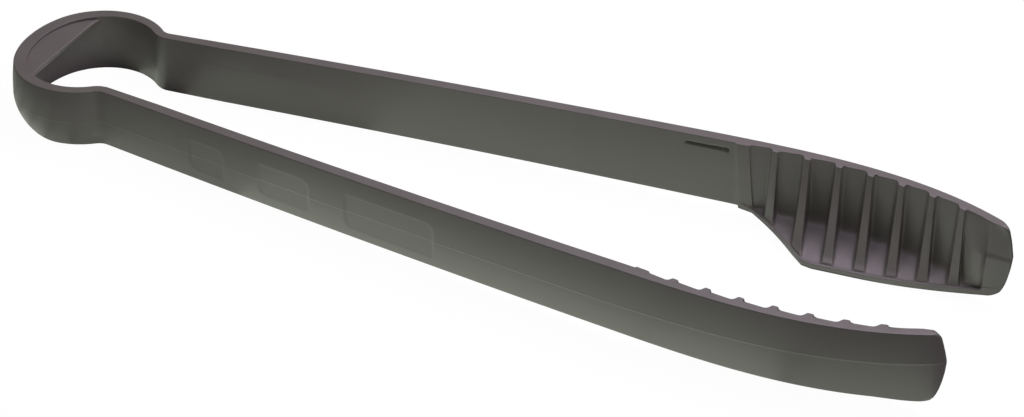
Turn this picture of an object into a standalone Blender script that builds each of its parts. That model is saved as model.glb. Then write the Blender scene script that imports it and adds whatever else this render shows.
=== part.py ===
"""Barbecue tongs moulded in one piece: a springy bow, two arms and two ribbed scoops.

Metres, +Z up. +X runs from the bow to the tips, and +Y is the left arm's side. The tongs stand
on the underside of the bow and on the heels of the two scoops; the origin lies on that floor,
under the middle of the length. The moulding is modelled in the sections between which it bends:
the stiff back of the bow with its web, two flexing links a side, and a stiff arm with its jaw.
"""

import math

import bmesh
import bpy
from mathutils import Matrix, Vector

MM = 0.001

# Plan of the left outer face, from the middle of the bow's back to the tip
back_radius = 35.0 * MM
back_turn = math.radians(23.9)
shoulder_radius = 24.4 * MM
shoulder_turn = math.radians(105.8)
neck_radius = 4.6 * MM
neck_turn = math.radians(47.1)
arm_run = 201.4 * MM
arm_turn = math.radians(2.36)
jaw_run = 110.3 * MM
jaw_turn = math.radians(33.2)
jaw_early_turn_share = 0.02

# Wall of the bow, the neck and the arm
back_wall = 4.55 * MM
neck_wall = 3.45 * MM
arm_wall = 4.0 * MM
back_wall_share = 0.35
neck_fade = 25.0 * MM

# Height of the moulding over its bottom edge, and how that edge rises from the bow to the tips
back_height = 21.1 * MM
arm_end_height = 24.6 * MM
tip_height = 25.3 * MM
rest_land = 12.0 * MM
rise_angle = math.radians(1.12)
outer_draft = 0.65 * MM
outer_crown = 0.3 * MM
parting_share = 0.45

# Web across the back of the bow
web_reach = 15.5 * MM
web_thickness = 1.6 * MM
web_recess = 1.0 * MM

# Bending places: the stiff back ends at the first, and the arm starts at the last
back_half_run = 33.0 * MM
link_count = 2
joint_gap = 0.3 * MM

# Scoop: its collar, its heel, and the plane on which the two jaws close
collar_start = 8.8 * MM
collar_width = 3.0 * MM
heel_run = 28.1 * MM
heel_early_share = 0.8
closing_angle = math.radians(6.8)
lip_flat = 20.0 * MM
lip_sweep = 4.4 * MM
lip_height = 3.5 * MM
heel_edge_height = 1.6 * MM
lip_rim = 1.4 * MM
floor_root = 1.6 * MM
floor_thickness = 2.8 * MM
tip_nose = 0.9 * MM
tip_corner = 5.0 * MM
tip_top_run = 12.0 * MM
tip_top_drop = 6.0 * MM

# Ribs and the pockets between them
rib_count = 7
rib_pitch = 11.2 * MM
first_rib = 13.4 * MM
first_pocket = 4.0 * MM
last_pocket_run = 10.9 * MM
rib_width = 2.5 * MM
rib_draft = math.radians(1.8)
rib_lean = math.radians(15.0)
rib_stand = 1.1 * MM
rib_stand_shares = [(0.0, 0.25), (0.14, 0.6), (0.28, 1.0), (0.55, 1.0), (0.75, 0.7), (1.0, 0.2)]
upper_slope_share = 0.5
pocket_wall_near = 3.6 * MM
pocket_wall_far = 2.8 * MM
tip_block_height = 13.0 * MM
tip_step = 0.8 * MM

# Panels sunk in the outer face of each arm: start and end along the arm, bottom and top
panel_depth = 0.35 * MM
panel_corner = 3.5 * MM
panels = [
    (37.4 * MM, 51.5 * MM, 4.5 * MM, 16.0 * MM),
    (66.1 * MM, 86.8 * MM, 4.5 * MM, 16.5 * MM),
    (101.6 * MM, 136.4 * MM, 4.0 * MM, 17.0 * MM),
]

# Slot in the inner face of each arm, just before the scoop
slot_start = 191.7 * MM
slot_length = 15.3 * MM
slot_below_top = 3.0 * MM
slot_width = 0.9 * MM
slot_depth = 0.8 * MM

# Steps of the mesh, and the overrun of every cut
bow_step = 3.2 * MM
neck_step = 0.95 * MM
arm_step = 20.0 * MM
jaw_step = 5.0 * MM
panel_step = 0.8 * MM
walk_step = 0.4 * MM
profile_steps = 6
halvings = 40
overrun = 3.0 * MM

moulding_colour = (0.115, 0.105, 0.098)
moulding_roughness = 0.55

bow_run = back_radius * back_turn + shoulder_radius * shoulder_turn
arm_start = bow_run + neck_radius * neck_turn
jaw_start = arm_start + arm_run
tip_at = jaw_start + jaw_run
collar_at = jaw_start + collar_start
heel_start = collar_at + collar_width
heel_at = heel_start + heel_run
last_rib = first_rib + (rib_count - 1) * rib_pitch
last_pocket_end = last_rib + last_pocket_run


def heading(s):
    """Direction of the outer face in plan, a run s from the middle of the back."""
    angle = math.pi / 2
    bends = ((back_radius, -back_turn), (shoulder_radius, -shoulder_turn), (neck_radius, neck_turn))
    for radius, turn in bends:
        run = min(s, radius * abs(turn))
        angle += math.copysign(run / radius, turn)
        s -= run
    run = min(s, arm_run)
    angle -= arm_turn * run / arm_run
    share = (s - run) / jaw_run
    return angle - jaw_turn * (jaw_early_turn_share * share + (1 - jaw_early_turn_share) * share * share)


def walk():
    """Points of the left outer face, a small step apart."""
    count = math.ceil(tip_at / walk_step)
    step = tip_at / count
    points = [Vector((0.0, 0.0))]
    for i in range(count):
        angle = heading((i + 0.5) * step)
        points.append(points[-1] + step * Vector((math.cos(angle), math.sin(angle))))
    return points, step


walked_points, walked_step = walk()


def outer(s):
    """Plan point of the left outer face at the run s."""
    place = min(max(s, 0.0), tip_at) / walked_step
    i = min(int(place), len(walked_points) - 2)
    return walked_points[i].lerp(walked_points[i + 1], place - i)


def inward(s):
    """Unit vector in plan from the left outer face to the inside of the tongs."""
    angle = heading(s)
    return Vector((math.sin(angle), -math.cos(angle)))


def inset(s, depth):
    """Plan point a depth inside the left outer face."""
    return outer(s) + depth * inward(s)


def reading(place, table):
    """Straight-line reading of a table of (place, value) pairs."""
    for (low, first), (high, second) in zip(table, table[1:]):
        if place <= high:
            return first + (second - first) * max(place - low, 0.0) / (high - low)
    return table[-1][1]


def zero_of(falling, low, high):
    """Where a falling function reaches zero, by halving."""
    for _ in range(halvings):
        middle = (low + high) / 2
        if falling(middle) > 0.0:
            low = middle
        else:
            high = middle
    return (low + high) / 2


def wall(s):
    """Thickness of the wall."""
    return reading(s, [
        (0.0, back_wall),
        (back_wall_share * bow_run, back_wall),
        (bow_run, neck_wall),
        (bow_run + neck_fade, arm_wall),
    ])


def edge(s):
    """Height of the bottom edge over the floor."""
    return math.tan(rise_angle) * max(outer(s).x - rest_land, 0.0)


def tall(s):
    """Height of the moulding over its bottom edge."""
    return reading(s, [(0.0, back_height), (jaw_start, arm_end_height), (tip_at, tip_height)])


def face(s, rise):
    """Depth of the outer face at a height over the bottom edge: it is proud along the parting line."""
    return reading(rise, [(0.0, outer_draft), (parting_share * tall(s), -outer_crown), (tall(s), 0.0)])


tip_inside = inset(tip_at, tip_nose)
closing_inward = Vector((math.sin(closing_angle), -math.cos(closing_angle)))


def to_plane(s):
    """Depth from the outer face to the plane on which the jaws close."""
    return (tip_inside - outer(s)).dot(closing_inward) / inward(s).dot(closing_inward)


def lip_share(s):
    """How far the lip has come from the wall to the closing plane."""
    share = min(max(s - heel_start, 0.0) / heel_run, 1.0)
    return heel_early_share * share + (1 - heel_early_share) * share * share


def lip_depth(s):
    """Depth of the lip: along the heel it leaves the wall, then it stays on the closing plane."""
    if s >= heel_at:
        return to_plane(s)
    return arm_wall + lip_share(s) * (to_plane(heel_at) - arm_wall)


def lip_bottom(s):
    """Height of the lip over the floor: the heel stands there, then the lip sweeps up to the tip."""
    sweep = max(s - heel_at - lip_flat, 0.0) / (tip_at - heel_at - lip_flat)
    return edge(s) * (1 - lip_share(s)) + lip_sweep * sweep * sweep


def lip_top(s):
    return lip_bottom(s) + heel_edge_height + (lip_height - heel_edge_height) * lip_share(s) ** 2


def underside(s, depth):
    """Height of the scoop's underside over the floor."""
    share = max(depth - arm_wall, 0.0) / max(lip_depth(s) - arm_wall, arm_wall)
    return edge(s) + (lip_bottom(s) - edge(s)) * min(share, 1.0)


def rib_depth(s):
    """Depth of the ribs' inner edges at the top of the jaw."""
    share = (s - collar_at) / (tip_at - collar_at)
    return min(arm_wall + rib_stand * reading(share, rib_stand_shares), to_plane(s))


def rounding(s, run, drop):
    """How far the rounded end of the tip, an arc of an ellipse, draws in an edge."""
    share = max(s - tip_at + run, 0.0) / run
    return drop * (1 - math.sqrt(max(1 - share * share, 0.0)))


def arm_section(s):
    """Closed outline of the wall as (depth, height over the floor)."""
    low = edge(s)
    high = low + tall(s)
    parting = (-outer_crown, low + parting_share * tall(s))
    return [(outer_draft, low), (wall(s), low), (wall(s), high), (0.0, high), parting]


def jaw_section(s):
    """Closed outline of the jaw, filled up to the inner faces of its ribs."""
    draw = rounding(s, tip_corner, tip_corner)
    low = edge(s) + draw
    high = edge(s) + tall(s) - rounding(s, tip_top_run, tip_top_drop)
    lip = lip_depth(s)
    lip_low = lip_bottom(s) + (edge(s) - lip_bottom(s)) * draw / tip_corner + draw
    lip_high = lip_top(s) + draw
    draft = min(outer_draft, lip / 3)
    points = [(draft, low), (min(arm_wall, (draft + lip) / 2), low), (lip, lip_low)]
    for i in range(profile_steps + 1):
        share = 1 - i / profile_steps
        bend = upper_slope_share * share + (1 - upper_slope_share) * share * share
        points.append((rib_depth(s) + (lip - rib_depth(s)) * bend, high - (high - lip_high) * share))
    return points + [(0.0, high), (-outer_crown, low + parting_share * (high - low))]


def panel_section(s, start, end, low, high):
    """Cutter for a sunk panel, whose top far corner and bottom near corner are round."""
    near = min(s - start, panel_corner)
    far = min(end - s, panel_corner)
    low += panel_corner - math.sqrt(panel_corner ** 2 - (panel_corner - near) ** 2)
    high -= panel_corner - math.sqrt(panel_corner ** 2 - (panel_corner - far) ** 2)
    heights = (low, parting_share * tall(s), high)
    points = [(face(s, rise) + panel_depth, edge(s) + rise) for rise in heights]
    return [(-overrun, edge(s) + low)] + points + [(-overrun, edge(s) + high)]


def slot_section(s):
    high = edge(s) + tall(s) - slot_below_top
    low = high - slot_width
    floor = arm_wall - slot_depth
    beyond = arm_wall + overrun
    return [(floor, low), (beyond, low), (beyond, high), (floor, high)]


def stations(start, end, step):
    """Even runs from start to end, at most a step apart."""
    count = math.ceil((end - start) / step)
    return [start + (end - start) * i / count for i in range(count + 1)]


def in_place(plan, z, side):
    """World point of a plan point of the left side; side is 1 for left and -1 for right."""
    return Vector((plan.x - middle_x, side * plan.y, z))


def loft(name, rings):
    """Closed mesh through rings with equal numbers of points."""
    bm = bmesh.new()
    loops = [[bm.verts.new(point) for point in ring] for ring in rings]
    for loop, following in zip(loops, loops[1:]):
        for i in range(len(loop)):
            bm.faces.new((loop[i - 1], loop[i], following[i], following[i - 1]))
    bm.faces.new(loops[0])
    bm.faces.new(loops[-1])
    bmesh.ops.recalc_face_normals(bm, faces=bm.faces)
    mesh = bpy.data.meshes.new(name)
    bm.to_mesh(mesh)
    bm.free()
    return mesh


def sweep(name, runs, section, side):
    """Stretch of the moulding; runs below zero lie on the other side of the back."""
    rings = []
    for s in runs:
        flip = side if s >= 0.0 else -side
        rings.append([in_place(inset(abs(s), depth), z, flip) for depth, z in section(abs(s))])
    return loft(name, rings)


def plastic(name):
    material = bpy.data.materials.new(name)
    material.use_nodes = True
    shader = material.node_tree.nodes["Principled BSDF"]
    shader.inputs["Base Color"].default_value = (*moulding_colour, 1.0)
    shader.inputs["Roughness"].default_value = moulding_roughness
    shader.inputs["Metallic"].default_value = 0.0
    return material


def add_piece(name, mesh, pivot, carrier=None):
    """Object with its origin on its joint's axis, carried by the piece before it."""
    mesh.transform(Matrix.Translation(-pivot))
    mesh.shade_smooth()
    mesh.set_sharp_from_angle(angle=math.radians(30))
    mesh.materials.append(plastic(name + "_plastic"))
    piece = bpy.data.objects.new(name, mesh)
    bpy.context.scene.collection.objects.link(piece)
    piece.location = pivot
    if carrier:
        piece.parent = carrier
        piece.matrix_parent_inverse = Matrix.Translation(-carrier.matrix_world.translation)
    bpy.context.view_layer.update()
    return piece


def cut(piece, name, meshes):
    """Cuts separate shapes, given in world space, out of a piece."""
    bm = bmesh.new()
    for mesh in meshes:
        bm.from_mesh(mesh)
        bpy.data.meshes.remove(mesh)
    joined = bpy.data.meshes.new(name)
    bm.to_mesh(joined)
    bm.free()
    cutter = bpy.data.objects.new(name, joined)
    bpy.context.scene.collection.objects.link(cutter)
    cutter.display_type = "WIRE"
    cutter.hide_render = True
    modifier = piece.modifiers.new(name, "BOOLEAN")
    modifier.operation = "DIFFERENCE"
    modifier.object = cutter


def pivot_at(s, side):
    """Bending axis in the middle of the wall."""
    return in_place(inset(s, wall(s) / 2), 0.0, side)


def web_mesh():
    """Web whose round edge follows the inner face of the back, with a straight front edge."""
    half_run = zero_of(lambda s: web_reach - inset(s, wall(s) + joint_gap).x, 0.0, back_half_run)
    high = back_height - web_recess
    rings = []
    for z in (high - web_thickness, high):
        ring = []
        for s in stations(-half_run, half_run, bow_step):
            side = 1 if s >= 0.0 else -1
            ring.append(in_place(inset(abs(s), wall(abs(s)) + joint_gap), z, side))
        rings.append(ring)
    return loft("bow_web", rings)


def depth_of(plan):
    """Run and depth of a plan point inside the jaw."""
    def behind(s):
        return (plan - outer(s)).dot(Vector((math.cos(heading(s)), math.sin(heading(s)))))
    s = zero_of(behind, jaw_start, tip_at)
    return s, (plan - outer(s)).dot(inward(s))


rib_inward = Vector((math.sin(rib_lean), -math.cos(rib_lean)))
rib_across = Vector((math.cos(rib_lean), math.sin(rib_lean)))


def rib_top(distance):
    """Plan point on the ribs' top edge line, a distance along X from the collar."""
    x = outer(collar_at).x + distance
    s = zero_of(lambda s: x - inset(s, rib_depth(s)).x, collar_at, tip_at)
    return inset(s, rib_depth(s))


def pocket_side(top_point, half_width, sign, thickness, side):
    """Six points of a pocket's cutter on one rib's face, which leans with the rib's draft."""
    s_top, _ = depth_of(top_point)
    top_z = edge(s_top) + tall(s_top)

    def on_face(z, reached):
        """Point of the rib's face at a height, where the given test on (run, depth) turns."""
        spread = half_width + (top_z - z) * math.tan(rib_draft)
        start = top_point + sign * spread * rib_across
        along = zero_of(lambda t: -reached(*depth_of(start + t * rib_inward)), -tip_height, tip_height)
        plan = start + along * rib_inward
        return plan, z

    def back(s, depth):
        return depth - thickness

    def crease(s, depth):
        return depth - max(lip_depth(s) - lip_rim, thickness + lip_rim / 2)

    def beyond(s, depth):
        return depth - lip_depth(s) - overrun

    floor_back = edge(s_top) + floor_root
    crease_run, crease_depth = depth_of(on_face(floor_back, crease)[0])
    rim_high = lip_top(crease_run)
    floor_front = min(underside(crease_run, crease_depth) + floor_thickness, rim_high - lip_rim / 4)
    points = [
        on_face(top_z + overrun, back),
        on_face(floor_back, back),
        on_face(floor_front, crease),
        on_face(rim_high, crease),
        on_face(rim_high, beyond),
        on_face(top_z + overrun, beyond),
    ]
    return [in_place(plan, z, side) for plan, z in points]


def pocket_cutters(side):
    """One cutter for each pocket between two ribs, the collar and the block of the tip."""
    tops = [first_pocket] + [first_rib + i * rib_pitch for i in range(rib_count)] + [last_pocket_end]
    widths = [0.0] + [rib_width / 2] * rib_count + [0.0]
    cutters = []
    for i in range(rib_count + 1):
        near = pocket_side(rib_top(tops[i]), widths[i], 1, pocket_wall_near, side)
        far = pocket_side(rib_top(tops[i + 1]), widths[i + 1], -1, pocket_wall_far, side)
        cutters.append(loft("pocket", [near, far]))
    return cutters


def tip_cutter(side):
    """Sets the tip's inner face back from the closing plane above the tip's block."""
    start = rib_top(last_pocket_end)
    closing_along = Vector((-closing_inward.y, closing_inward.x))
    start_along = (start - tip_inside).dot(closing_along)
    low = edge(tip_at) + tip_block_height
    high = edge(tip_at) + tip_height + overrun
    rings = []
    for along in (start_along, overrun):
        shallow = tip_inside + along * closing_along - tip_step * closing_inward
        deep = tip_inside + along * closing_along + overrun * closing_inward
        corners = ((shallow, low), (deep, low), (deep, high), (shallow, high))
        rings.append([in_place(plan, z, side) for plan, z in corners])
    return loft("tip_step", rings)


def arm_cutters(side):
    """Sunk panels of the outer face and the slot of the inner face."""
    cutters = []
    for start, end, low, high in panels:
        start += arm_start
        end += arm_start
        runs = stations(start, start + panel_corner, panel_step)
        runs += stations(end - panel_corner, end, panel_step)
        cutters.append(sweep("panel", runs, lambda s: panel_section(s, start, end, low, high), side))
    slot_at = arm_start + slot_start
    cutters.append(sweep("slot", [slot_at, slot_at + slot_length], slot_section, side))
    return cutters


def add_side(name, side, back):
    """Links, arm and jaw of one side, each carried by the one before it."""
    carrier = back
    link_run = (bow_run - back_half_run) / link_count
    half_gap = joint_gap / 2
    for i in range(link_count):
        start = back_half_run + i * link_run
        runs = stations(start + half_gap, start + link_run - half_gap, bow_step)
        mesh = sweep(f"bow_side_{name}_{i + 1}", runs, arm_section, side)
        carrier = add_piece(mesh.name, mesh, pivot_at(start, side), carrier)
    pivot = pivot_at(bow_run, side)
    runs = stations(bow_run + half_gap, arm_start, neck_step)
    runs += stations(arm_start, bow_run + neck_fade, neck_fade)[1:]
    runs += stations(bow_run + neck_fade, collar_at - half_gap, arm_step)[1:]
    arm = add_piece(f"arm_{name}", sweep("arm", runs, arm_section, side), pivot, carrier)
    cut(arm, f"arm_cutter_{name}", arm_cutters(side))
    runs = stations(collar_at + half_gap, heel_start, collar_width)
    runs += stations(heel_start, heel_at, jaw_step)[1:]
    runs += stations(heel_at, tip_at - tip_corner, jaw_step)[1:]
    runs += stations(tip_at - tip_corner, tip_at, tip_corner / profile_steps)[1:]
    jaw = add_piece(f"jaw_{name}", sweep("jaw", runs, jaw_section, side), pivot, arm)
    cut(jaw, f"pocket_cutter_{name}", pocket_cutters(side))
    cut(jaw, f"tip_cutter_{name}", [tip_cutter(side)])


for old in list(bpy.data.objects):
    bpy.data.objects.remove(old)

middle_x = outer(tip_at).x / 2
back_end = back_half_run - joint_gap / 2
back_runs = stations(-back_end, back_end, bow_step)
bow_back = add_piece("bow_back", sweep("bow_back", back_runs, arm_section, 1), Vector())
add_piece("bow_web", web_mesh(), Vector(), bow_back)
add_side("left", 1, bow_back)
add_side("right", -1, bow_back)
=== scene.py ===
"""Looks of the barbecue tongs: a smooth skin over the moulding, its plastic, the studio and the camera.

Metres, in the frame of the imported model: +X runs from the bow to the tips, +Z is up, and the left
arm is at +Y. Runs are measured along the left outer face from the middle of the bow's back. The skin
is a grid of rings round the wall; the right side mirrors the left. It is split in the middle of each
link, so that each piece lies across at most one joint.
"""

import math

import bmesh
import bpy
import numpy as np
from mathutils import Matrix, Vector


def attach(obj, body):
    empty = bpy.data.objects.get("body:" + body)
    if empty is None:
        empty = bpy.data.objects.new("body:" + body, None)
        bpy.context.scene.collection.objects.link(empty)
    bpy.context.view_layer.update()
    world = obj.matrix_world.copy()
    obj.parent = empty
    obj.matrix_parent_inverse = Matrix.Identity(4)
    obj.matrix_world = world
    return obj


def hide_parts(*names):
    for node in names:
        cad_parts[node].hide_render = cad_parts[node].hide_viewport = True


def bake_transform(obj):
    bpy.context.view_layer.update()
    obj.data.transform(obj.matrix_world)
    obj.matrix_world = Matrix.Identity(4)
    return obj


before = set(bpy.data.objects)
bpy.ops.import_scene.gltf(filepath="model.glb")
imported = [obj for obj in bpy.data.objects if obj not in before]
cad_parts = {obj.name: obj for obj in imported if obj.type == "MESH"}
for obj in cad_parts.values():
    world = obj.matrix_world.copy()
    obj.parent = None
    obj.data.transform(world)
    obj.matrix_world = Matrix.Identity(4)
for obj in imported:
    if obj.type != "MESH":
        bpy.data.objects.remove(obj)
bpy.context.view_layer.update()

MM = 0.001

# Plan of the left outer face, from the middle of the bow's back to the tip
back_radius = 35.0 * MM
back_turn = math.radians(23.9)
shoulder_radius = 24.4 * MM
shoulder_turn = math.radians(105.8)
neck_radius = 4.6 * MM
neck_turn = math.radians(47.1)
arm_run = 201.4 * MM
arm_turn = math.radians(2.36)
jaw_run = 110.3 * MM
jaw_turn = math.radians(33.2)
jaw_early_turn_share = 0.02

# Wall of the bow, the neck and the arm
back_wall = 4.55 * MM
neck_wall = 3.45 * MM
arm_wall = 4.0 * MM
back_wall_share = 0.35
neck_fade = 25.0 * MM

# Height of the moulding, the rise of its bottom edge, and the bulge and parting line of its outer face
back_height = 21.1 * MM
arm_end_height = 24.6 * MM
tip_height = 25.3 * MM
rest_land = 12.0 * MM
rise_angle = math.radians(1.12)
outer_draft = 0.65 * MM
outer_crown = 0.5 * MM
back_crown = 0.3 * MM
arm_parting_share = 0.45
tip_parting_share = 0.58
back_draft = 1.6 * MM
back_draft_end = 30.0 * MM
side_draft_start = 46.0 * MM
tip_barrel_share = 0.3
parting_ridge = 0.05 * MM
ridge_under = 0.08 * MM
ridge_over = 0.3 * MM

# Web across the back of the bow
web_reach = 14.5 * MM
web_thickness = 1.6 * MM
web_recess = 0.8 * MM
web_seat = 0.6 * MM
web_edge_round = 0.5 * MM
web_fillet_reach = 3.0 * MM
web_fillet_run = 8.0 * MM

# Bending places: where the stiff back ends, and the links of each side
back_half_run = 33.0 * MM
link_count = 2

# Scoop: its collar, its heel, the plane on which the two jaws close, its lip and its floor
collar_start = 7.1 * MM
collar_width = 4.7 * MM
collar_stand = 0.6 * MM
collar_edge = 0.4 * MM
collar_foot = 0.7 * MM
collar_lean = 2.3 * MM
collar_foot_height = 3.0 * MM
heel_run = 28.1 * MM
heel_early_share = 0.8
closing_angle = math.radians(6.8)
lip_flat = 20.0 * MM
lip_sweep = 5.2 * MM
lip_height = 2.2 * MM
heel_edge_height = 1.6 * MM
lip_rim = 1.0 * MM
rim_crease = 0.25 * MM
floor_root = 0.9 * MM
floor_thickness = 2.0 * MM
tip_nose = 0.9 * MM

# End of the tip: how far it is drawn in over and under the parting line, and its wall over the block
tip_top_inset = 2.8 * MM
tip_top_power = 1.2
tip_top_corner = 2.2 * MM
tip_low_inset = 3.5 * MM
tip_low_power = 2.3
tip_low_corner = 2.4 * MM
tip_reach = 1.1 * MM
tip_zone = 14.0 * MM
tip_curl = 0.7 * MM
tip_curl_run = 4.0 * MM
tip_sink_run = 22.0 * MM
tip_sink_share = 0.42
tip_least = 1.3 * MM
tip_least_blend = 0.6 * MM
tip_edge_round = 0.4 * MM
tip_top_wall = 3.4 * MM
tip_wall_blend = 1.6 * MM

# Ribs, the pockets between them, and the block at the tip
rib_count = 7
rib_pitch = 11.2 * MM
first_rib = 14.8 * MM
first_pocket = 5.7 * MM
last_pocket_run = 11.2 * MM
rib_width = 2.1 * MM
rib_draft = math.radians(1.3)
rib_lean = math.radians(15.0)
rib_stand = 1.1 * MM
rib_stand_shares = [(0.0, 0.25), (0.14, 0.6), (0.28, 1.0), (0.55, 1.0), (0.75, 0.7), (1.0, 0.2)]
nose_bend_shares = [
    (0.0, 0.0),
    (0.2, 0.08),
    (0.45, 0.27),
    (0.7, 0.54),
    (0.88, 0.76),
    (0.95, 0.87),
    (1.0, 1.0),
]
nose_row_shares = [(0.0, 0.0), (0.7, 0.78), (1.0, 1.0)]
pocket_wall_near = 3.6 * MM
pocket_wall_far = 2.8 * MM
tip_block_height = 13.0 * MM
tip_step = 0.45 * MM
tip_step_share = 1 / 3
block_edge = 0.2 * MM
wall_foot = 1.0 * MM

# Rounds of the moulding's edges and corners
outer_round = 0.35 * MM
inner_round = 0.3 * MM
lip_round = 0.4 * MM
pocket_corner_round = 1.3 * MM
rib_edge_round = 0.4 * MM
floor_round = 2.6 * MM
side_slant = 0.1 * MM
heel_round = 4.0 * MM

# Most that a round may take of a side or of a thin wall, how much smaller the lip's upper round is, and
# how many rounds away from its first and last corner a line of a ring starts and ends
round_side_share = 0.45
round_wall_share = 0.25
rim_round_share = 0.5
lead_rounds = 2

# Flat panels sunk in the outer face of each arm: start and end along the arm, bottom and top
panel_depth = 0.08 * MM
panel_corner = 3.5 * MM
panel_edge = 0.7 * MM
panels = [
    (37.4 * MM, 51.5 * MM, 4.5 * MM, 16.0 * MM),
    (66.1 * MM, 86.8 * MM, 4.5 * MM, 16.5 * MM),
    (101.6 * MM, 136.4 * MM, 4.0 * MM, 17.0 * MM),
]

# Slot in the inner face of each arm, just before the scoop
slot_start = 191.7 * MM
slot_length = 15.3 * MM
slot_below_top = 3.0 * MM
slot_width = 0.9 * MM
slot_depth = 1.0 * MM
slot_edge = 0.25 * MM

# Rows of points round a ring, of which the single ones are those of its short sides, and steps between
# rings. The arm's inner rows gather before the collar, over a run, as the jaw's rows lie.
arc_rows = 4
outer_single_rows = 5
arm_single_rows = 3
lower_rows = 22
land_rows = 4
wall_rows = 22
floor_rows = 8
crease_rows = 2
rim_rows = 3
lip_rows = 4
under_rows = 7
bow_step = 0.9 * MM
neck_step = 0.5 * MM
arm_step = 0.6 * MM
pocket_columns = 8
side_columns = 5
rib_columns = 3
collar_columns = 6
tip_columns = 6
end_columns = 5
web_columns = 24
web_corner_columns = 8
seam_step = 0.05 * MM
gather_run = 8.0 * MM
walk_step = 0.4 * MM
least_gap = 0.001 * MM
newton_turns = 6

# Camera, as it was worked out from the photograph's perspective
camera_azimuth = math.radians(25.382)
camera_elevation = math.radians(34.183)
camera_roll = math.radians(1.387)
camera_distance = 1142.765 * MM
camera_target = Vector((161.198, 60.718, -38.303)) * MM
camera_lens = 111.685
camera_sensor = 36.0
camera_near = 10.0 * MM

# Plastic: its colour, the slow changes of tone and gloss over it, and its very fine grain
plastic_colour = (0.092, 0.086, 0.080)
tone_scale = 60.0
tone_detail = 6.0
tone_reading_shares = (0.3, 0.7)
tone_colour_shares = (0.93, 1.07)
plastic_roughness = (0.42, 0.58)
grain_scale = 1800.0
grain_detail = 3.0
grain_strength = 0.12
grain_depth = 0.1 * MM

# Studio: dim surround, floor that looks white, overhead lamp, and low strips of light beside and between
# the arms, each from a start to an end of the run, with its power
world_strength = 0.22
world_colour = (0.95, 1.0, 0.75)
floor_half_width = 4.0
floor_colour = (0.3, 0.3, 0.3)
floor_roughness = 0.9
floor_white_share = 0.93
floor_glow = 1.05
overhead_place = (0.22, 0.22, 0.7)
overhead_size = (0.8, 0.6)
overhead_power = 8.5
overhead_colour = (1.0, 0.87, 1.06)
strip_height = 0.5 * MM
strip_gap = -0.8 * MM
strip_colour = (0.91, 1.0, 0.87)
outer_strips = [
    (0.0 * MM, 10.0 * MM, 0.0010),
    (10.0 * MM, 20.0 * MM, 0.0012),
    (20.0 * MM, 30.0 * MM, 0.0015),
    (30.0 * MM, 40.0 * MM, 0.0013),
    (40.0 * MM, 51.0 * MM, 0.0010),
    (51.0 * MM, 62.0 * MM, 0.0008),
    (62.0 * MM, 120.0 * MM, 0.0057),
    (120.0 * MM, 275.0 * MM, 0.0255),
    (275.0 * MM, 325.0 * MM, 0.0082),
    (325.0 * MM, 378.0 * MM, 0.0064),
]
outer_strip_width = 33.0 * MM
inner_strips = [
    (47.0 * MM, 62.0 * MM, 0.0016),
    (70.0 * MM, 140.0 * MM, 0.0042),
    (140.0 * MM, 268.0 * MM, 0.0135),
    (270.0 * MM, 303.0 * MM, 0.0036),
    (303.0 * MM, 378.0 * MM, 0.0073),
]
inner_strip_width = 30.0 * MM

# Where each stretch starts and ends along the run, or along X from the collar for the ribs
bow_run = back_radius * back_turn + shoulder_radius * shoulder_turn
arm_start = bow_run + neck_radius * neck_turn
jaw_start = arm_start + arm_run
tip_at = jaw_start + jaw_run
collar_at = jaw_start + collar_start
heel_start = collar_at + collar_width
heel_at = heel_start + heel_run
last_rib = first_rib + (rib_count - 1) * rib_pitch
last_pocket_end = last_rib + last_pocket_run
link_run = (bow_run - back_half_run) / link_count

mirror = (1.0, -1.0, 1.0)


def heading(s):
    """Direction of the outer face in plan, a run s from the middle of the back."""
    angle = math.pi / 2
    bends = ((back_radius, -back_turn), (shoulder_radius, -shoulder_turn), (neck_radius, neck_turn))
    for radius, turn in bends:
        run = min(s, radius * abs(turn))
        angle += math.copysign(run / radius, turn)
        s -= run
    run = min(s, arm_run)
    angle -= arm_turn * run / arm_run
    share = (s - run) / jaw_run
    return angle - jaw_turn * (jaw_early_turn_share * share + (1 - jaw_early_turn_share) * share * share)


def walk():
    """Points of the left outer face, a small step apart."""
    count = math.ceil(tip_at / walk_step)
    step = tip_at / count
    points = [Vector((0.0, 0.0))]
    for i in range(count):
        angle = heading((i + 0.5) * step)
        points.append(points[-1] + step * Vector((math.cos(angle), math.sin(angle))))
    return points, step


walked_points, walked_step = walk()


def outer(s):
    """Plan point of the left outer face at the run s, drawn on straight before and after it."""
    place = s / walked_step
    i = min(max(int(place), 0), len(walked_points) - 2)
    return walked_points[i].lerp(walked_points[i + 1], place - i)


def inward(s):
    """Unit vector in plan from the left outer face to the inside of the tongs."""
    angle = heading(s)
    return Vector((math.sin(angle), -math.cos(angle)))


def inset(s, depth):
    """Plan point a depth inside the left outer face."""
    return outer(s) + inward(s) * depth


def reading(place, table):
    """Straight-line reading of a table of (place, value) pairs."""
    for (low, first), (high, second) in zip(table, table[1:]):
        if place <= high:
            return first + (second - first) * max(place - low, 0.0) / (high - low)
    return table[-1][1]


def wall(s):
    """Thickness of the wall."""
    return reading(s, [
        (0.0, back_wall),
        (back_wall_share * bow_run, back_wall),
        (bow_run, neck_wall),
        (bow_run + neck_fade, arm_wall),
    ])


def edge(s):
    """Height of the bottom edge over the floor."""
    return math.tan(rise_angle) * max(outer(s).x - rest_land, 0.0)


def tall(s):
    """Height of the moulding over its bottom edge."""
    return reading(s, [(0.0, back_height), (jaw_start, arm_end_height), (tip_at, tip_height)])


tip_inside = inset(tip_at, tip_nose)
closing_inward = Vector((math.sin(closing_angle), -math.cos(closing_angle)))


def to_plane(s):
    """Depth from the outer face to the plane on which the jaws close, but no thinner than the end."""
    depth = (tip_inside - outer(s)).dot(closing_inward) / inward(s).dot(closing_inward)
    return -soft_least(-depth, -tip_least, tip_least_blend)


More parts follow.
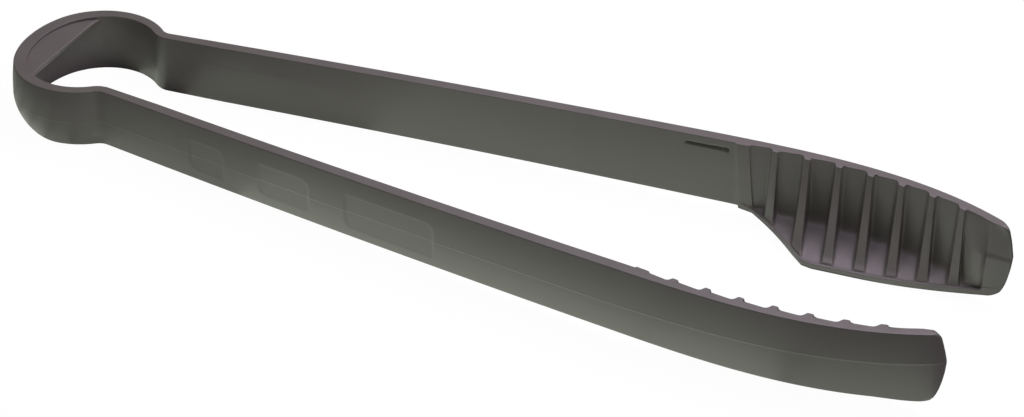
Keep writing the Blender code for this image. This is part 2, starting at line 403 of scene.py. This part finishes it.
def lip_share(s):
    """How far the lip has come from the wall to the closing plane."""
    share = min(max(s - heel_start, 0.0) / heel_run, 1.0)
    return heel_early_share * share + (1 - heel_early_share) * share * share


def sharp_lip_depth(s):
    """Depth of the lip: from the wall to the closing plane at the heel, then along that plane."""
    if s >= heel_at:
        return to_plane(s)
    return arm_wall + lip_share(s) * (to_plane(heel_at) - arm_wall)


def lip_depth(s):
    """Depth of the lip, with its corner at the heel rounded."""
    if s > heel_at + heel_round:
        return to_plane(s)
    return (sharp_lip_depth(s - heel_round) + 2 * sharp_lip_depth(s) + sharp_lip_depth(s + heel_round)) / 4


def lip_bottom(s):
    """Height of the lip over the floor: the heel stands there, then the lip sweeps up to the tip."""
    sweep = max(s - heel_at - lip_flat, 0.0) / (tip_at - heel_at - lip_flat)
    return edge(s) * (1 - lip_share(s)) + lip_sweep * sweep * sweep


def lip_top(s):
    """Height of the top of the lip's face, which grows from the heel's thin edge."""
    return lip_bottom(s) + heel_edge_height + (lip_height - heel_edge_height) * lip_share(s) ** 2


def rib_depth(s):
    """Depth of the ribs' inner edges at the top of the jaw."""
    share = (s - collar_at) / (tip_at - collar_at)
    return min(arm_wall + rib_stand * reading(share, rib_stand_shares), to_plane(s))


def high_at(s):
    """Height of the top over the floor."""
    return edge(s) + tall(s)


def parting_at(s):
    """Height of the parting line, which climbs along the jaw."""
    return edge(s) + tall(s) * reading(s, [(jaw_start, arm_parting_share), (tip_at, tip_parting_share)])


def round_back(s):
    """Share that is 1 round the bow's back and fades along its sides."""
    return 1 - smooth((s - back_draft_end) / (side_draft_start - back_draft_end))


def draft_at(s):
    """How far the outer face is drawn in at its bottom edge."""
    return outer_draft + back_draft * round_back(s)


def crown_at(s):
    """How far the outer face stands out along the parting line."""
    return outer_crown + back_crown * round_back(s)


def outer_low(s):
    """Height of the outer face's bottom edge, which goes down towards the lip's bottom at the tip."""
    share = tip_sink_share * smooth(1 - (tip_at - s) / tip_sink_run)
    return edge(s) + (lip_bottom(s) - edge(s)) * share


def corner_inset(rise, corner):
    """How far a quarter circle of a corner's size is drawn in, a rise over the circle's start."""
    rise = min(max(rise, 0.0), corner)
    return corner - math.sqrt(corner ** 2 - rise ** 2)


def end_inset(height):
    """How far the end of the tip is drawn in at a height: it bulges along the parting line."""
    low, parting, high = lip_bottom(tip_at), parting_at(tip_at), high_at(tip_at)
    if height < parting:
        share = min((parting - height) / (parting - low), 1.0)
        drawn = tip_low_inset * share ** tip_low_power
        return drawn + corner_inset(low + tip_low_corner - height, tip_low_corner) - tip_reach
    share = min((height - parting) / (high - parting), 1.0)
    drawn = tip_top_inset * share ** tip_top_power
    return drawn + corner_inset(height - high + tip_top_corner, tip_top_corner) - tip_reach


def curl(back):
    """How far the outer face curls in, a run back from the end of the tip."""
    return tip_curl * max(1 - back / tip_curl_run, 0.0) ** 2


def stations(start, end, step):
    """Even runs from start to end, at most a step apart."""
    count = math.ceil((end - start) / step)
    return [start + (end - start) * i / count for i in range(count + 1)]


def smooth(share):
    """Soft step from 0 to 1."""
    share = min(max(share, 0.0), 1.0)
    return share * share * (3 - 2 * share)


def across_edge(inside, width):
    """Soft step from 0 to 1 across an edge, from how far inside the edge's middle a place lies."""
    return smooth(inside / width + 0.5)


def soft_least(a, b, blend):
    """The lesser of two values, with a rounded change over from one to the other."""
    share = min(max(0.5 + 0.5 * (b - a) / blend, 0.0), 1.0)
    return b + (a - b) * share - blend * share * (1 - share)


def bent(start, corner, end, share):
    """Point at a share of the way round a corner, on a curve that leaves both of its sides smoothly."""
    return start * (1 - share) ** 2 + corner * (2 * share * (1 - share)) + end * share ** 2


def quarter_round(size, steps):
    """(back, out) places round a quarter circle: first a size back, in the end a size out."""
    turns = [math.pi / 2 * j / steps for j in range(steps + 1)]
    return [(size * (1 - math.sin(turn)), size * (1 - math.cos(turn))) for turn in turns]


def chain(corners, counts):
    """Line of (depth, height) points through (depth, height, round) corners, with each side split."""
    points = []
    starts = []
    for i, (depth, height, rounding) in enumerate(corners):
        here = np.array((depth, height))
        if rounding == 0.0:
            starts.append((here, here))
            continue
        before = np.array(corners[i - 1][:2]) - here
        after = np.array(corners[i + 1][:2]) - here
        before_run = np.linalg.norm(before)
        after_run = np.linalg.norm(after)
        reach = min(rounding, before_run * round_side_share, after_run * round_side_share)
        starts.append((here + before * reach / before_run, here + after * reach / after_run))
    for i, count in enumerate(counts):
        first = starts[i][1]
        last = starts[i + 1][0]
        points.extend(first + (last - first) * j / count for j in range(count))
        if i + 2 < len(corners) and corners[i + 1][2] > 0.0:
            corner = np.array(corners[i + 1][:2])
            end = starts[i + 1][1]
            points.extend(bent(last, corner, end, j / arc_rows) for j in range(arc_rows))
    points.append(starts[len(counts)][0])
    return points


def barrel(s, height):
    """How far the outer face stands out over straight lines from its edges to the parting line."""
    parting = parting_at(s)
    if height < parting:
        share, end = (parting - height) / (parting - edge(s)), draft_at(s)
    else:
        share, end = (height - parting) / (high_at(s) - parting), 0.0
    fullness = reading(s, [(jaw_start, 1.0), (tip_at, tip_barrel_share)])
    return fullness * (crown_at(s) + end) * share * max(1 - share, 0.0)


def face_depth(s, height):
    """Depth of the outer face without its panels."""
    ends = [(edge(s), draft_at(s)), (parting_at(s), -crown_at(s)), (high_at(s), 0.0)]
    return reading(height, ends) - barrel(s, height)


def panel_sink(s, height):
    """Depth of the sunk panels, whose floors are flat, under the outer face."""
    deepest = 0.0
    for start, end, low, high in panels:
        along = s - arm_start
        if not start - panel_edge < along < end + panel_edge:
            continue
        rise = height - edge(s)
        left, right, below, above = along - start, end - along, rise - low, high - rise
        inside = min(left, right, below, above)
        for a, b in ((left, below), (right, above)):
            if a < panel_corner and b < panel_corner:
                inside = min(inside, panel_corner - math.hypot(panel_corner - a, panel_corner - b))
        lowest, highest = edge(s) + low, edge(s) + high
        level = reading(height, [(at, face_depth(s, at)) for at in (lowest, highest)])
        sink = panel_depth + level - face_depth(s, height)
        deepest = max(deepest, sink * across_edge(inside, panel_edge))
    return deepest


def outer_chain(s):
    """Outer half of a ring, from the underside over the outer face to the top: (depth, height) points."""
    low, parting, high = outer_low(s), parting_at(s), high_at(s)
    draft, crown = draft_at(s), crown_at(s)
    corners = [
        (draft + lead_rounds * outer_round, low, 0.0),
        (draft, low, outer_round),
        (-crown, parting - ridge_under, 0.0),
        (-crown - parting_ridge, parting, 0.0),
        (-crown, parting + ridge_over, 0.0),
        (0.0, high, outer_round),
        (lead_rounds * outer_round, high, 0.0),
    ]
    points = chain(corners, [1, lower_rows, 1, 1, upper_rows, 1])
    points = [(depth - barrel(s, height), height) for depth, height in points]
    if arm_start < s < collar_at:
        points = [(depth + panel_sink(s, height), height) for depth, height in points]
    return points


def slot_sink(s, height):
    """Depth of the slot in the inner face."""
    below = edge(s) + tall(s) - slot_below_top - height
    along = s - arm_start - slot_start
    inside = min(along, slot_length - along, below, slot_width - below)
    return slot_depth * across_edge(inside, slot_edge)


def scoop_corners(s, rim):
    """Corners that every inner half ends with: the lip's rim, its face and its bottom edge."""
    lip = lip_depth(s) if s > heel_start else arm_wall
    rim = min(rim, max(lip - arm_wall, 0.0))
    rounding = min(lip_round, lip * round_wall_share)
    low = lip_bottom(s)
    high = lip_top(s)
    return [
        (lip - rim, high + lip_rim - rim, rounding * rim_round_share),
        (lip, high, rounding),
        (lip, low, rounding),
        (lip - lead_rounds * rounding, low, 0.0),
    ]


def deep_chain(s, lip_s, thickness):
    """Inner half of a ring through a pocket: back wall, floor, crease and lip."""
    high = high_at(s)
    rim, lip_high, lip_low, last = scoop_corners(lip_s, lip_rim)
    floor_back = edge(s) + floor_root
    floor_front = min(lip_low[1] + floor_thickness, rim[1] - rim_crease)
    foot = min(thickness + wall_foot, max(rim[0] - lip_rim, thickness))
    corners = [
        (thickness - lead_rounds * inner_round, high, 0.0),
        (thickness, high, inner_round),
        (foot, floor_back, floor_round),
        (max(rim[0] - rim_crease, thickness + rim_crease), floor_front, lip_round),
        (max(rim[0], thickness + 2 * rim_crease), rim[1], rim[2]),
        lip_high,
        lip_low,
        last,
    ]
    return chain(corners, [1, wall_rows, floor_rows, crease_rows, rim_rows, lip_rows, 1])


def beside_block(deep, proud, nose, share):
    """Deep chain whose wall takes up a share of the nose's depth, most of all over the tip's block."""
    block_top = edge(tip_at) + tip_block_height
    low = edge(tip_at) + floor_root
    wall_start = arc_rows + 1
    shift = nose(0.0, deep[0][1], 0.0) - deep[wall_start][0]
    points = [(depth + shift * share, height) for depth, height in deep[:wall_start]]
    for (depth, height), (_, proud_height) in zip(deep[wall_start:], proud[wall_start:]):
        aim = nose(0.0, max(height, block_top + block_edge), 0.0)
        over = share * smooth((proud_height - low) / (block_top - low))
        points.append((depth + (aim - depth) * over, height))
    return points


def proud_chain(s, lip_s, rim_width, nose_depth):
    """Inner half of a ring over a rib, the collar or the tip. The depth of its nose is a function."""
    high = high_at(s)
    rim, lip_high, lip_low, last = scoop_corners(lip_s, rim_width)
    foot = rim[1] + rim_crease / 2
    nose = nose_depth(0.0, high, rim[0])
    rounding = min(inner_round, nose * round_wall_share)
    top = [
        (nose - lead_rounds * rounding, high, 0.0),
        (nose, high, rounding),
        (nose, high - lip_height, 0.0),
    ]
    points = chain(top, [1, 1])[:1 + arc_rows]
    rows = wall_rows + arc_rows + floor_rows + arc_rows
    start = high - rounding
    for i in range(rows + 1):
        share = reading(i / rows, nose_row_shares)
        height = start + (foot - start) * share
        points.append((nose_depth(share, height, rim[0]), height))
    ends = chain([(*points[-1], 0.0), rim, lip_high, lip_low, last], [crease_rows, rim_rows, lip_rows, 1])
    return points + ends[1:]


def in_place(plan, z):
    """World point of a plan point of the left side."""
    return (plan.x - middle_x, plan.y, z)


def ring_of(outer_points, inner_points):
    """Whole ring: the outer and inner halves, with the top land and the underside between them."""
    top = np.linspace(outer_points[-1], inner_points[0], land_rows + 2)[1:-1]
    under = np.linspace(inner_points[-1], outer_points[0], under_rows + 2)[1:-1]
    return np.concatenate([outer_points, top, inner_points, under])


def straight(s, points):
    """World points of (depth, height) points at one run."""
    return np.array([in_place(inset(s, depth), height) for depth, height in points])


def collar_chain(s, stand=0.0, foot=0.0):
    """Inner half of a ring over the collar, which may stand proud of the arm and have a foot."""
    low = lip_bottom(s)
    points = proud_chain(s, s, 0.0, lambda share, height, rim: arm_wall)
    return [
        (depth + stand, height - foot * smooth(1 - (height - low) / collar_foot_height))
        for depth, height in points
    ]


def arm_ring(s):
    """Ring of the bow or the arm. Its inner rows gather near the collar as the jaw's do."""
    high = high_at(s)
    low = edge(s)
    thick = wall(s)
    corners = [
        (thick - lead_rounds * inner_round, high, 0.0),
        (thick, high, inner_round),
        (thick, low, lip_round),
        (thick - lead_rounds * lip_round, low, 0.0),
    ]
    points = np.array(chain(corners, [1, inner_count - 2 * arc_rows - arm_single_rows, 1]))
    near = smooth((s - collar_at + gather_run) / gather_run)
    if near > 0.0:
        points = points + near * (np.array(collar_chain(s)) - points)
    points[:, 0] -= [slot_sink(s, height) for _, height in points]
    return ring_of(straight(s, outer_chain(s)), straight(s, points))


def run_at(plan, across, depth, s):
    """Run, found from s, at which a depth, a function of the run, meets a plane across the jaw."""
    for _ in range(newton_turns):
        along = Vector((math.cos(heading(s)), math.sin(heading(s))))
        s += (plan - inset(s, depth(s))).dot(across) / along.dot(across)
    return s


def rib_top(distance):
    """Run and plan point on the ribs' top edge line, a distance along X from the collar."""
    x = outer(collar_at).x + distance
    s = collar_at + distance
    for _ in range(newton_turns):
        s += (x - inset(s, rib_depth(s)).x) / math.cos(heading(s))
    return s, inset(s, rib_depth(s))


def on_plane(make, s, plan_at, lean):
    """World points of a chain that is set on a leaning plane; plan_at gives its plan point at a height."""
    across = Vector((math.cos(lean), math.sin(lean)))
    lip_s = run_at(plan_at(lip_bottom(s)), across, lip_depth, s)
    points = []
    for depth, height in make(s, lip_s):
        here = run_at(plan_at(height), across, lambda _: depth, s)
        points.append(in_place(inset(here, depth), height))
    return np.array(points)


def rib_nose(s):
    """Depth of a rib's nose: at the top it stands proud of the wall, at the foot it meets the rim."""
    top = rib_depth(s)
    return lambda share, height, rim: top + (rim - top) * reading(share, nose_bend_shares)


def block_nose(s):
    """Depth of the tip's inner face: over the block it is set back a step and slants to a thin top."""
    rise, high = edge(tip_at) + tip_block_height, high_at(s)
    plane = to_plane(s)
    step = min(tip_step, plane * tip_step_share)
    top = soft_least(tip_top_wall, plane - step, tip_wall_blend)

    def nose(share, height, rim):
        slant = reading(height, [(rise, plane - step), (high, top)])
        return plane + (slant - plane) * across_edge(height - rise, block_edge)

    return nose


def pocket_columns_of(i):
    """Inner halves from the near rib's nose through a pocket to the far rib's nose."""
    tops = [first_pocket] + [first_rib + j * rib_pitch for j in range(rib_count)] + [last_pocket_end]
    halves = [0.0] + [rib_width / 2] * rib_count + [0.0]
    (near_s, near_top), (far_s, far_top) = rib_top(tops[i]), rib_top(tops[i + 1])
    across = Vector((math.cos(rib_lean), math.sin(rib_lean)))
    width = (far_top - near_top).dot(across) - halves[i] - halves[i + 1]
    reach = (side_slant + pocket_corner_round) / width
    last = i == rib_count

    def sides(g):
        """Deep and proud chains of world points at the share g of the pocket's width."""
        s = near_s + (far_s - near_s) * g
        high = high_at(s)

        def plan_at(height):
            """Plan point at the share g of the pocket's width, which narrows towards its foot."""
            spread = (high - height) * math.tan(rib_draft)
            lean = collar_lean * (high - height) / tall(s) if i == 0 else 0.0
            near = near_top + across * (halves[i] + spread + lean)
            far = far_top - across * (halves[i + 1] + spread)
            return near.lerp(far, g) if 0.0 <= g <= 1.0 else near + (far - near) * g

        share = min(max(g, 0.0), 1.0)
        thickness = pocket_wall_near + (pocket_wall_far - pocket_wall_near) * share
        to_block = min(share / (1 - reach), 1.0) if last else 0.0
        if last and share > 0.5:
            nose = block_nose(run_at(plan_at(edge(s) + tip_block_height / 2), across, to_plane, s))
            rim = 0.0
        else:
            nose = rib_nose(s)
            rim = lip_rim

        def make_deep(at, lip_s):
            points = deep_chain(at, lip_s, thickness)
            if to_block == 0.0:
                return points
            end_nose = block_nose(at)
            return beside_block(points, proud_chain(at, lip_s, 0.0, end_nose), end_nose, to_block)

        deep = on_plane(make_deep, s, plan_at, rib_lean)
        proud = on_plane(lambda at, lip_s: proud_chain(at, lip_s, rim, nose), s, plan_at, rib_lean)
        return deep, proud

    def side_columns_of(far):
        """Columns from the pocket's corner to the edge of the rib's nose."""
        columns = []

        def column(a, low_reach, high_reach, share):
            """Adds the column that lies a distance into the pocket, between its deep and proud chains."""
            g = 1 - a / width if far else a / width
            deep, proud = sides(g)
            gap = np.linalg.norm(proud - deep, axis=1, keepdims=True)
            scale = np.minimum(1.0, gap / (pocket_corner_round + rib_edge_round))
            low = low_reach * scale
            high = gap - high_reach * scale
            reach = low + (high - low) * share
            columns.append(deep + (proud - deep) * reach / np.maximum(gap, least_gap))

        for back, out in quarter_round(pocket_corner_round, arc_rows):
            column(side_slant + back, out, 0.0, 0.0)
        for j in range(1, side_columns):
            share = j / side_columns
            column(side_slant * (1 - 2 * share), pocket_corner_round, rib_edge_round, share)
        for back, out in reversed(quarter_round(rib_edge_round, arc_rows)):
            column(-side_slant - back, 0.0, out, 1.0)
        return columns

    near_columns = side_columns_of(False)
    far_columns = side_columns_of(True)
    inner = [sides(reach + (1 - 2 * reach) * j / pocket_columns)[0] for j in range(1, pocket_columns)]
    return near_columns[::-1] + inner + far_columns


def between(first, last, count):
    """Columns evenly between two columns."""
    return [first + (last - first) * (j + 1) / (count + 1) for j in range(count)]


def end_half(make, back, out, warp):
    """Points of one half of a ring near the tip's end, drawn in as the end's outline is.

    make gives the half's (depth, height) points at a run, back is the run from the outline to the ring,
    out is how much deeper the points lie, and warp is how far the ring has taken up the outline.
    """
    points = []
    for j, (_, height) in enumerate(make(tip_at - back)):
        here = tip_at - back - warp * end_inset(height)
        depth, height = make(here)[j]
        points.append(in_place(inset(here, depth + out), height))
    return np.array(points)


def collar_edge_rings():
    """Inner halves at the foot and at the top of the collar's step, which leans forward."""
    halves = []
    for s, stand, foot in ((collar_at, 0.0, 0.0), (collar_at + collar_edge, collar_stand, collar_foot)):
        points = []
        for depth, height in collar_chain(s, stand, foot):
            here = s + collar_edge + collar_lean * (high_at(s) - height) / tall(s)
            points.append(in_place(inset(here, depth), height))
        halves.append(np.array(points))
    return halves


def jaw_rings():
    """Rings from the collar to the tip."""
    columns = []
    for i in range(rib_count + 1):
        pocket = pocket_columns_of(i)
        if columns:
            columns += between(columns[-1], pocket[0], rib_columns)
        columns += pocket
    start = straight(collar_at, collar_chain(collar_at))
    flat, proud = collar_edge_rings()
    rounds = quarter_round(tip_edge_round, end_columns)

    def tip_chain(s):
        return proud_chain(s, s, 0.0, block_nose(s))

    ends = [end_half(tip_chain, back, -out, 1.0) for back, out in rounds]
    collar = [flat, proud] + between(proud, columns[0], collar_columns)
    tip = between(columns[-1], ends[0], tip_columns)
    inner = [start] + collar + columns + tip + ends
    body = len(inner) - len(ends)
    backs = [tip_at - collar_at - (tip_at - collar_at - tip_edge_round) * j / body for j in range(body)]
    places = [(back, curl(back)) for back in backs] + [(back, out + curl(back)) for back, out in rounds]
    rings = []
    for (back, out), points in zip(places, inner):
        warp = min(max(1 - (back - tip_edge_round) / tip_zone, 0.0), 1.0)
        if warp > 0.0:
            half = end_half(outer_chain, back, out, warp)
        else:
            half = straight(tip_at - back, outer_chain(tip_at - back))
        rings.append(ring_of(half, points))
    return rings


middle_x = walked_points[-1].x / 2
inner_count = len(deep_chain(heel_at, heel_at, pocket_wall_near))
upper_rows = inner_count - lower_rows - 2 * arc_rows - outer_single_rows


def zipped(near, far):
    """Triangles between two rising rows of vertices."""
    faces = []
    i = j = 0
    while i + 1 < len(near) or j + 1 < len(far):
        if j + 1 == len(far) or (i + 1 < len(near) and near[i + 1].co.z <= far[j + 1].co.z):
            faces.append((near[i], near[i + 1], far[j]))
            i += 1
        else:
            faces.append((near[i], far[j + 1], far[j]))
            j += 1
    return [face for face in faces if len(set(face)) == 3]


def mirrored(rings):
    """The same rings on the other side of the tongs."""
    return [ring * mirror for ring in rings]


def add_piece(name, rings, side, nodes, ends_in_tip=False):
    """Closed piece of the skin through rings, which stands for CAD nodes."""
    points = np.array(rings if side > 0 else mirrored(rings))
    ring_length = points.shape[1]
    bm = bmesh.new()
    verts = [[bm.verts.new(point) for point in ring] for ring in points]
    for ring, following in zip(verts, verts[1:]):
        for j in range(ring_length):
            bm.faces.new((ring[j - 1], ring[j], following[j], following[j - 1]))
    caps = [bm.faces.new(verts[0])]
    if ends_in_tip:
        outer_end, inner_end = inner_count, inner_count + land_rows
        last = verts[-1]
        rising = last[inner_end + inner_count - 1:] + last[:outer_end]
        for face in zipped(rising, last[inner_end + inner_count - 1:outer_end - 2:-1]):
            bm.faces.new(face)
    else:
        caps.append(bm.faces.new(verts[-1]))
    bmesh.ops.recalc_face_normals(bm, faces=bm.faces)
    for face in bm.faces:
        face.smooth = True
    for cap in caps:
        for loop_edge in cap.edges:
            loop_edge.smooth = False
    mesh = bpy.data.meshes.new(name)
    bm.to_mesh(mesh)
    bm.free()
    piece = bpy.data.objects.new(name, mesh)
    bpy.context.scene.collection.objects.link(piece)
    mesh.materials.append(plastic)
    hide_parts(*nodes)
    return piece


def with_seams(start, end, step):
    """Runs from start to end, with one more close to each end, where the piece meets the next."""
    return [start] + stations(start + seam_step, end - seam_step, step) + [end]


def plastic_material():
    """Moulded plastic, satin to matt, with a very fine grain and slight changes of tone."""
    material = bpy.data.materials.new("moulded_plastic")
    material.use_nodes = True
    nodes = material.node_tree.nodes
    links = material.node_tree.links
    shader = nodes["Principled BSDF"]
    shader.inputs["Metallic"].default_value = 0.0
    place = nodes.new("ShaderNodeTexCoord")
    tone = nodes.new("ShaderNodeTexNoise")
    tone.inputs["Scale"].default_value = tone_scale
    tone.inputs["Detail"].default_value = tone_detail
    colours = nodes.new("ShaderNodeValToRGB")
    ends = zip(colours.color_ramp.elements, tone_reading_shares, tone_colour_shares)
    for end, place_share, colour_share in ends:
        end.position = place_share
        end.color = (*(colour_share * c for c in plastic_colour), 1.0)
    gloss = nodes.new("ShaderNodeMapRange")
    gloss.inputs["To Min"].default_value = plastic_roughness[0]
    gloss.inputs["To Max"].default_value = plastic_roughness[1]
    grain = nodes.new("ShaderNodeTexNoise")
    grain.inputs["Scale"].default_value = grain_scale
    grain.inputs["Detail"].default_value = grain_detail
    bump = nodes.new("ShaderNodeBump")
    bump.inputs["Strength"].default_value = grain_strength
    bump.inputs["Distance"].default_value = grain_depth
    links.new(place.outputs["Object"], tone.inputs["Vector"])
    links.new(place.outputs["Object"], grain.inputs["Vector"])
    links.new(tone.outputs["Fac"], colours.inputs["Fac"])
    links.new(colours.outputs["Color"], shader.inputs["Base Color"])
    links.new(tone.outputs["Fac"], gloss.inputs["Value"])
    links.new(gloss.outputs["Result"], shader.inputs["Roughness"])
    links.new(grain.outputs["Fac"], bump.inputs["Height"])
    links.new(bump.outputs["Normal"], shader.inputs["Normal"])
    return material


def build_bow():
    """The bow's pieces: the stiff back, and side pieces that each lie across one joint and end in the
    middle of a link.
    """
    middles = [back_half_run + (i + 0.5) * link_run for i in range(link_count)]
    start = back_half_run - link_run / 2
    half = [arm_ring(s) for s in with_seams(0.0, start, bow_step)]
    back = add_piece("bow_skin", mirrored(half[:0:-1]) + half, 1, ["bow_back"])
    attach(back, "bow")
    for name, side in (("left", 1), ("right", -1)):
        runs = [start] + middles
        for i in range(link_count):
            rings = [arm_ring(s) for s in with_seams(runs[i], runs[i + 1], bow_step)]
            piece = add_piece(f"bow_bend_{name}_{i + 1}", rings, side, [f"bow_side_{name}_{i + 1}"])
            joint_at = back_half_run + i * link_run
            blend_over(piece, joint_at)


def web_fronts():
    """Left half of the web's front edge in plan, from its middle to the wall, and the run where it ends."""
    s = 0.0
    while inset(s, wall(s)).x < web_reach + web_fillet_reach:
        s += walk_step
    end = inset(s, wall(s) - web_seat)
    corner = Vector((web_reach, end.y))
    start = corner - Vector((0.0, web_fillet_run))
    straight_columns = web_columns - web_corner_columns
    points = [Vector((web_reach, start.y * j / straight_columns)) for j in range(straight_columns)]
    points += [bent(start, corner, end, j / web_corner_columns) for j in range(web_corner_columns + 1)]
    return points, s


def build_web():
    """Web across the back of the bow, a little below the rim, with a rounded front edge."""
    fronts, end = web_fronts()
    top = back_height - web_recess
    half = []
    for j, front in enumerate(fronts):
        s = end * j / web_columns
        backs = [inset(s, wall(s) - web_seat), inset(s, wall(s) - web_seat / 2)]
        after = fronts[min(j + 1, web_columns)]
        before = fronts[j - 1] if j else Vector((after.x, -after.y))
        tangent = (after - before).normalized()
        out = Vector((tangent.y, -tangent.x))
        profile = [(lead_rounds * web_edge_round, 0.0)] + quarter_round(web_edge_round, arc_rows)
        profile += [(inward_by, web_thickness - down) for inward_by, down in profile[::-1]]
        edge_points = [(front - out * inward_by, top - down) for inward_by, down in profile]
        points = [(plan, top) for plan in backs] + edge_points
        points += [(plan, top - web_thickness) for plan in backs[::-1]]
        half.append(np.array([in_place(plan, z) for plan, z in points]))
    piece = add_piece("web_skin", mirrored(half[:0:-1]) + half, 1, ["bow_web"])
    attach(piece, "bow")


def blend_over(piece, s):
    """Works out plan points half a link before and after the joint s, which nothing uses, and bakes the
    piece's transform into its mesh.
    """
    for run in (s - link_run / 2, s + link_run / 2):
        plan = inset(run, wall(run) / 2)
    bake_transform(piece)


def build_arms():
    """The arms, which each lie across the last joint of their side, and the jaws, which ride on them."""
    start = bow_run - link_run / 2
    runs = with_seams(start, arm_start, neck_step)[:-2]
    runs += stations(arm_start, collar_at - seam_step, arm_step) + [collar_at]
    rings = [arm_ring(s) for s in runs]
    jaw = jaw_rings()
    for name, side in (("left", 1), ("right", -1)):
        arm = add_piece(f"arm_skin_{name}", rings, side, [f"arm_{name}"])
        blend_over(arm, bow_run)
        scoop = add_piece(f"jaw_skin_{name}", jaw, side, [f"jaw_{name}"], ends_in_tip=True)
        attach(scoop, f"{name}_arm")


def add_lamp(name, place, tip_over, turn, size, power, colour):
    """Area lamp that no camera sees; it shines down, or up when it is tipped over."""
    lamp = bpy.data.lights.new(name, "AREA")
    lamp.shape = "RECTANGLE"
    lamp.size, lamp.size_y = size
    lamp.energy = power
    lamp.color = colour
    holder = bpy.data.objects.new(name, lamp)
    holder.location = place
    holder.rotation_euler = (tip_over, 0.0, turn)
    holder.visible_camera = False
    bpy.context.scene.collection.objects.link(holder)


def add_strips(start, end, depth_at, width, power):
    """Strip of light on the floor along a stretch of the wall, on the left and on the right."""
    first = inset(start, depth_at(start))
    last = inset(end, depth_at(end))
    along = last - first
    across = Vector((along.y, -along.x)).normalized()
    middle = (first + last) / 2 + across * (width / 2)
    for side in (1, -1):
        place = (middle.x - middle_x, side * middle.y, strip_height)
        turn = side * math.atan2(along.y, along.x)
        add_lamp("strip", place, math.pi, turn, (along.length, abs(width)), power, strip_colour)


def build_floor():
    """Floor that the camera sees as white, while it throws back less light than white would."""
    mesh = bpy.data.meshes.new("floor")
    bm = bmesh.new()
    bmesh.ops.create_grid(bm, x_segments=1, y_segments=1, size=floor_half_width)
    bm.to_mesh(mesh)
    bm.free()
    floor = bpy.data.objects.new("floor", mesh)
    bpy.context.scene.collection.objects.link(floor)
    material = bpy.data.materials.new("floor_white")
    material.use_nodes = True
    nodes = material.node_tree.nodes
    links = material.node_tree.links
    shader = nodes["Principled BSDF"]
    shader.inputs["Base Color"].default_value = (*floor_colour, 1.0)
    shader.inputs["Roughness"].default_value = floor_roughness
    glow = nodes.new("ShaderNodeEmission")
    glow.inputs["Strength"].default_value = floor_glow
    path = nodes.new("ShaderNodeLightPath")
    share = nodes.new("ShaderNodeMath")
    share.operation = "MULTIPLY"
    share.inputs[1].default_value = floor_white_share
    mix = nodes.new("ShaderNodeMixShader")
    links.new(path.outputs["Is Camera Ray"], share.inputs[0])
    links.new(share.outputs[0], mix.inputs["Fac"])
    links.new(shader.outputs[0], mix.inputs[1])
    links.new(glow.outputs[0], mix.inputs[2])
    links.new(mix.outputs[0], nodes["Material Output"].inputs["Surface"])
    mesh.materials.append(material)


def build_studio():
    """Pale floor, dim surround, a lamp overhead and low strips of light beside the tongs."""
    world = bpy.data.worlds.new("studio")
    bpy.context.scene.world = world
    world.use_nodes = True
    background = world.node_tree.nodes["Background"]
    background.inputs["Color"].default_value = (*world_colour, 1.0)
    background.inputs["Strength"].default_value = world_strength
    build_floor()
    add_lamp("overhead", overhead_place, 0.0, 0.0, overhead_size, overhead_power, overhead_colour)
    for start, end, power in outer_strips:
        add_strips(start, end, lambda s: -strip_gap, -outer_strip_width, power)
    for start, end, power in inner_strips:
        add_strips(start, end, lambda s: max(lip_depth(s), arm_wall) + strip_gap, inner_strip_width, power)


def build_camera():
    """Camera at the photograph's angle, turned about its axis by the photograph's roll."""
    azimuth, elevation = camera_azimuth, camera_elevation
    back = Vector((
        math.sin(azimuth) * math.cos(elevation),
        -math.cos(azimuth) * math.cos(elevation),
        math.sin(elevation),
    ))
    level = (-back).cross(Vector((0.0, 0.0, 1.0))).normalized()
    above = level.cross(-back)
    right = math.cos(camera_roll) * level + math.sin(camera_roll) * above
    up = -math.sin(camera_roll) * level + math.cos(camera_roll) * above
    turn = Matrix((right, up, back)).transposed().to_4x4()
    place = camera_target + camera_distance * back - Vector((middle_x, 0.0, 0.0))
    data = bpy.data.cameras.new("camera")
    data.lens = camera_lens
    data.sensor_width = camera_sensor
    data.clip_start = camera_near
    camera = bpy.data.objects.new("camera", data)
    camera.matrix_world = Matrix.Translation(place) @ turn
    bpy.context.scene.collection.objects.link(camera)
    bpy.context.scene.camera = camera


bpy.context.scene.view_settings.view_transform = "Standard"
plastic = plastic_material()
build_bow()
build_web()
build_arms()
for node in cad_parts.values():
    node.data.materials.clear()
    node.data.materials.append(plastic)
build_studio()
build_camera()
